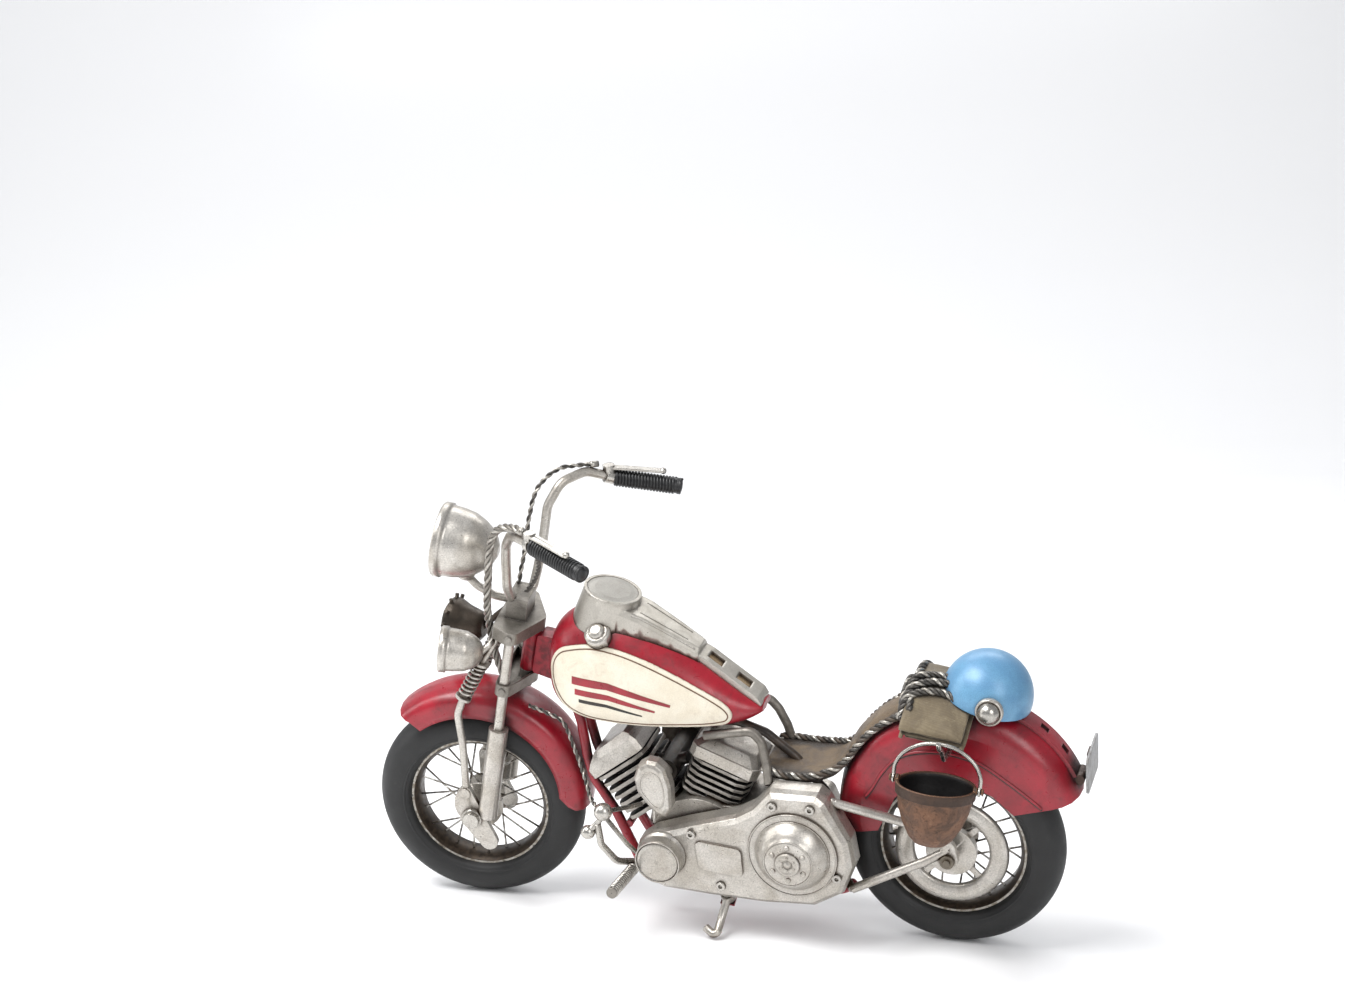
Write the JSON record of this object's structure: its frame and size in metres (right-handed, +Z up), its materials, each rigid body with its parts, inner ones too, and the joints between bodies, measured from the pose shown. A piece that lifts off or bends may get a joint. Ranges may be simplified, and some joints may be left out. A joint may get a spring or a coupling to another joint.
{
  "type": "toy motorcycle",
  "caption": "Handmade sheet-metal model of a springer-fork cruiser motorcycle, leaning on its kickstand, with turning wheels, steering bars, luggage, helmet and a hanging bucket.",
  "frame": {"origin": "centre of the whole model's bounding box, on the surface it stands on", "axes": "+Z up, the bike's front points to -X with its left side to -Y; it leans 12 degrees towards -Y on its kickstand, with the bars turned a little left"},
  "size_m": [0.3066, 0.14, 0.1915],
  "materials": {
    "tyre_rubber": "matte, plain",
    "dark_enamel": "satin, worn at the edges",
    "spoke_steel": "satin",
    "silver_paint": "warm grey satin with brown patina in the seams",
    "red_paint": "weathered crimson with dark grime in the seams",
    "cream_paint": "satin, chipped edge, brown line inside the edge",
    "console_bronze": "satin bronze grey",
    "dial_steel": "brushed disc",
    "seat_brown": "brown-olive, scuffed",
    "braid_dark": "two-strand braid",
    "canvas_olive": "olive-brown folded cloth",
    "rope_dark": "twisted dark and silver strands",
    "helmet_blue": "satin sky blue",
    "bucket_copper": "rusty copper brown, black inside",
    "tail_brown": "dark brown",
    "plate_grey": "speckled grey",
    "grip_rubber": "black, ribbed",
    "cable_dark": "twisted wire, darkened",
    "lens_clear": "domed lens",
    "bright_steel": "polished"
  },
  "bodies": {
    "frame": {"air_cleaner": "silver_paint", "alternator_cover": "silver_paint", "brake_pedal": "silver_paint", "bucket_hook": "bright_steel", "dash_console": "console_bronze", "derby_cover": "silver_paint", "engine_case": "silver_paint", "exhaust_pipes": "silver_paint", "filler_caps": "silver_paint", "foot_pegs": "silver_paint", "frame_cradle": "red_paint", "frame_neck": "red_paint", "front_cylinder": "dark_enamel", "fuel_tank": "red_paint", "helmet": "helmet_blue", "horn_cover": "silver_paint", "kickstand_bolt": "bright_steel", "licence_plate": "plate_grey", "luggage_bag": "canvas_olive", "luggage_rope": "rope_dark", "primary_cover": "silver_paint", "primary_screws": "bright_steel", "rear_axle": "bright_steel", "rear_cylinder": "dark_enamel", "rear_fender": "red_paint", "rear_stays": "silver_paint", "rocker_covers": "silver_paint", "seat": "seat_brown", "seat_lacing": "braid_dark", "seat_tubes": "silver_paint", "shift_cable": "cable_dark", "shift_lever": "bright_steel", "speedometer": "dial_steel", "tail_bracket": "tail_brown", "tank_panels": "cream_paint"},
    "fork": {"control_cables": "cable_dark", "fog_lamp": "silver_paint", "fork_legs": "silver_paint", "fork_yokes": "silver_paint", "front_axle": "bright_steel", "front_fender": "red_paint", "hand_grips": "grip_rubber", "hand_levers": "bright_steel", "handlebar": "silver_paint", "headlight": "silver_paint", "headlight_lens": "lens_clear", "rocker_plates": "silver_paint", "siren": "silver_paint", "springer_rods": "silver_paint"},
    "front_wheel": {"front_tyre": "tyre_rubber", "front_rim": "dark_enamel", "front_spokes": "spoke_steel", "front_hub": "silver_paint"},
    "rear_wheel": {"rear_tyre": "tyre_rubber", "rear_rim": "dark_enamel", "rear_spokes": "spoke_steel", "rear_hub": "silver_paint"},
    "kickstand": {"kickstand": "silver_paint"},
    "bail": {"bucket_bail": "bright_steel"},
    "bucket": {"bucket": "bucket_copper"}
  },
  "joints": [
    {"name": "steering", "type": "hinge", "parent": "frame", "child": "fork", "pos_m": [-0.08106, -0.00244, 0.11267], "axis": [0.2079, -0.205, 0.9564], "range_deg": [-36.5, 23.5]},
    {"name": "front_wheel_spin", "type": "hinge", "parent": "fork", "child": "front_wheel", "pos_m": [-0.10848, 0.01084, 0.04406], "axis": [-0.1107, 0.9666, 0.2313], "continuous": true},
    {"name": "rear_wheel_spin", "type": "hinge", "parent": "frame", "child": "rear_wheel", "pos_m": [0.09744, 0.01224, 0.04423], "axis": [0, 0.9778, 0.2096], "continuous": true},
    {"name": "kickstand_pivot", "type": "hinge", "parent": "frame", "child": "kickstand", "pos_m": [0.00474, -0.00089, 0.01482], "axis": [0, -0.6665, 0.7455], "range_deg": [0, 85]},
    {"name": "bail_swing", "type": "hinge", "parent": "frame", "child": "bail", "pos_m": [0.09944, -0.03269, 0.09634], "axis": [0.9962, 0, -0.0872], "range_deg": [-60, 8]},
    {"name": "bucket_swing", "type": "hinge", "parent": "bail", "child": "bucket", "pos_m": [0.09803, -0.03269, 0.0802], "axis": [0.9962, 0, -0.0872], "range_deg": [-35, 14]}
  ]
}
